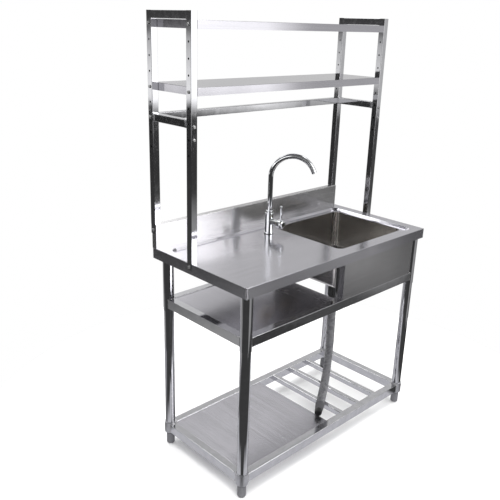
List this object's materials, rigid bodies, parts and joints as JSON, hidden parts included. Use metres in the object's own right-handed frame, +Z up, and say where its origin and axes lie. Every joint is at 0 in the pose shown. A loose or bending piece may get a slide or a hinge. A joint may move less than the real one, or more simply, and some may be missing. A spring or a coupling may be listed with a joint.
{
  "type": "portable handwash sink",
  "caption": "Free-standing steel sink table with drainboard, gooseneck mixer tap, half shelves, slatted base and an over-counter shelf rack.",
  "frame": {"origin": "on the floor, below the centre of the whole object's footprint", "axes": "+X along the front towards the basin end, +Y from the user towards the splash, +Z up"},
  "size_m": [1.0094, 0.505, 1.628],
  "materials": {
    "satin_steel": "satin brushed stainless sheet",
    "polished_steel": "bright polished stainless tube",
    "bolt_steel": "bright plated fasteners",
    "socket_grey": "grey moulded corner socket",
    "foot_grey": "grey moulded levelling foot",
    "chrome": "mirror chrome",
    "rubber_black": "black rubber seal",
    "brass": "plain brass",
    "aerator_grey": "grey plastic insert",
    "drain_steel": "polished strainer",
    "drain_plastic": "dark grey moulded plastic",
    "hose_grey": "grey corrugated plastic",
    "cuff_grey": "dark grey rubbery plastic",
    "cap_black": "black plastic cap"
  },
  "bodies": {
    "sink_frame": {"countertop": "satin_steel", "backsplash": "satin_steel", "sink_basin": "satin_steel", "sink_apron": "satin_steel", "counter_crossbar_left": "satin_steel", "counter_crossbar_right": "satin_steel", "mid_shelf_panel": "satin_steel", "base_shelf_panel": "satin_steel", "rack_shelf_top": "satin_steel", "rack_shelf_middle": "satin_steel", "mid_rail_front": "polished_steel", "base_rail_front": "polished_steel", "mid_rail_back": "polished_steel", "base_rail_back": "polished_steel", "mid_rail_left": "polished_steel", "base_rail_left": "polished_steel", "mid_rail_right": "polished_steel", "base_rail_right": "polished_steel", "base_slat_1": "polished_steel", "base_slat_2": "polished_steel", "base_slat_3": "polished_steel", "leg_sleeve_front_left": "polished_steel", "leg_tube_front_left": "polished_steel", "leg_sleeve_front_right": "polished_steel", "leg_tube_front_right": "polished_steel", "leg_sleeve_back_left": "polished_steel", "leg_tube_back_left": "polished_steel", "leg_sleeve_back_right": "polished_steel", "leg_tube_back_right": "polished_steel", "rack_upright_front_left": "polished_steel", "rack_upright_back_left": "polished_steel", "rack_top_bar_left": "polished_steel", "rack_side_bar_left": "polished_steel", "rack_upright_front_right": "polished_steel", "rack_upright_back_right": "polished_steel", "rack_top_bar_right": "polished_steel", "rack_side_bar_right": "polished_steel", "rack_back_bar": "polished_steel", "rack_bolts": "bolt_steel", "leg_sockets": "socket_grey", "faucet_body": "chrome", "faucet_spout_nut": "chrome", "faucet_gasket": "rubber_black", "drain_gasket": "rubber_black", "faucet_mounting_nut": "brass", "drain_flange": "drain_steel", "drain_body": "drain_plastic", "drain_coupling": "drain_plastic", "drain_hose": "hose_grey", "hose_cuff": "cuff_grey", "hose_cap": "cap_black"},
    "spout": {"faucet_spout": "chrome", "faucet_aerator": "aerator_grey"},
    "valve_dome": {"faucet_valve_dome": "chrome"},
    "handle": {"faucet_handle_cap": "chrome", "faucet_lever": "chrome"},
    "levelling_foot_front_left": {"foot_front_left": "foot_grey"},
    "levelling_foot_front_right": {"foot_front_right": "foot_grey"},
    "levelling_foot_back_left": {"foot_back_left": "foot_grey"},
    "levelling_foot_back_right": {"foot_back_right": "foot_grey"}
  },
  "joints": [
    {"name": "spout_swivel", "type": "hinge", "parent": "sink_frame", "child": "spout", "pos_m": [-0.03, 0.1225, 0.812], "axis": [0, 0, 1], "continuous": true},
    {"name": "handle_turn", "type": "hinge", "parent": "sink_frame", "child": "valve_dome", "pos_m": [-0.03, 0.0725, 0.863], "axis": [0, 1, 0], "range_deg": [-45, 45]},
    {"name": "handle_tilt", "type": "hinge", "parent": "valve_dome", "child": "handle", "pos_m": [-0.03, 0.0725, 0.863], "axis": [1, 0, 0], "range_deg": [0, 20]},
    {"name": "foot_screw_front_left", "type": "slide", "parent": "sink_frame", "child": "levelling_foot_front_left", "axis": [0, 0, -1], "range_m": [-0.005, 0.015]},
    {"name": "foot_screw_front_right", "type": "slide", "parent": "sink_frame", "child": "levelling_foot_front_right", "axis": [0, 0, -1], "range_m": [-0.005, 0.015]},
    {"name": "foot_screw_back_left", "type": "slide", "parent": "sink_frame", "child": "levelling_foot_back_left", "axis": [0, 0, -1], "range_m": [-0.005, 0.015]},
    {"name": "foot_screw_back_right", "type": "slide", "parent": "sink_frame", "child": "levelling_foot_back_right", "axis": [0, 0, -1], "range_m": [-0.005, 0.015]}
  ]
}
